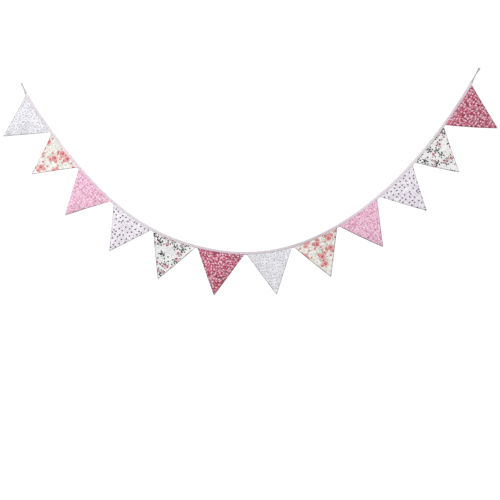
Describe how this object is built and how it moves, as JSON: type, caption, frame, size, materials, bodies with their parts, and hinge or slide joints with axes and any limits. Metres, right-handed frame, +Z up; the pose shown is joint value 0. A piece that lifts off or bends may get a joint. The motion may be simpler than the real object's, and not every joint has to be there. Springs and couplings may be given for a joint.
{
  "type": "fabric bunting",
  "caption": "Hanging fabric bunting: a sagging folded binding tape that carries a row of triangular printed cotton pennants by their tops.",
  "frame": {"origin": "middle of the tape's outer end at the left, where the bunting is held up", "axes": "+X to the right along the swag, +Y to the back, +Z up; the pennants face -Y"},
  "size_m": [1.9104, 0.0154, 0.8797],
  "materials": {
    "binding": "pale pink woven cotton",
    "white_sprig": "white cotton with a fine grey sprig print",
    "cream_rose": "cream cotton with a coral rose print",
    "pink_leaf": "pink cotton with a pale leaf print",
    "lilac_bud": "pale lilac cotton with a plum bud print",
    "white_rose": "white cotton with a dark rose and leaf print",
    "magenta_flower": "magenta cotton with a small pale flower print"
  },
  "bodies": {
    "root": {"binding_tape": "binding", "pennant_01": "white_sprig", "pennant_02": "cream_rose", "pennant_03": "pink_leaf", "pennant_04": "lilac_bud", "pennant_05": "white_rose", "pennant_06": "magenta_flower", "pennant_07": "white_sprig", "pennant_08": "cream_rose", "pennant_09": "pink_leaf", "pennant_10": "lilac_bud", "pennant_11": "white_rose", "pennant_12": "magenta_flower"}
  },
  "joints": []
}
